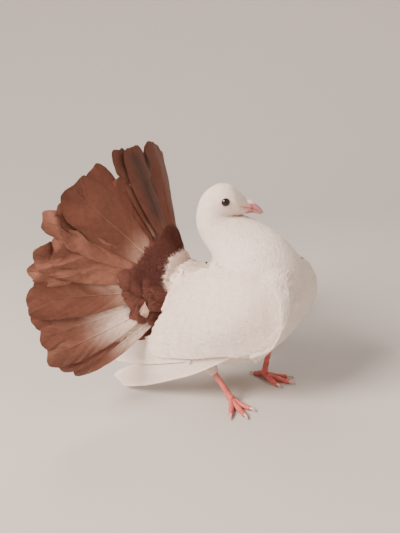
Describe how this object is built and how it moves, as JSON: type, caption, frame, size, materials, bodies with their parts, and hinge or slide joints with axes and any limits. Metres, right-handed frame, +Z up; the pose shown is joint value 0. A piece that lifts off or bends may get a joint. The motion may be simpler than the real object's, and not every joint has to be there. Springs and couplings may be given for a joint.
{
  "type": "fantail pigeon",
  "caption": "Standing white fantail pigeon with a raised, widely fanned reddish-brown tail, life size, as a still model.",
  "frame": {"origin": "centre of the bounding box's floor rectangle; the feet rest on z = 0", "axes": "+X the way the breast faces, +Y the bird's left, +Z up"},
  "size_m": [0.203, 0.2254, 0.2272],
  "materials": {
    "bill_horn": "pale pink horn",
    "brown_plumage": "reddish-brown tail feathers",
    "cere_skin": "pinkish-white cere",
    "claw_horn": "pale horn claws",
    "eye_dark": "wet dark brown eye",
    "leg_skin": "scaly coral-pink skin",
    "white_plumage": "white feathers"
  },
  "bodies": {
    "root": {"bill_lower": "bill_horn", "bill_upper": "bill_horn", "cere": "cere_skin", "claw_hind_left": "claw_horn", "claw_hind_right": "claw_horn", "claw_inner_left": "claw_horn", "claw_inner_right": "claw_horn", "claw_middle_left": "claw_horn", "claw_middle_right": "claw_horn", "claw_outer_left": "claw_horn", "claw_outer_right": "claw_horn", "eye_left": "eye_dark", "eye_right": "eye_dark", "foot_left": "leg_skin", "foot_right": "leg_skin", "head": "white_plumage", "neck": "white_plumage", "tail_left": "brown_plumage", "tail_right": "brown_plumage", "thigh_left": "white_plumage", "thigh_right": "white_plumage", "torso": "white_plumage", "wing_left": "white_plumage", "wing_right": "white_plumage"}
  },
  "joints": []
}
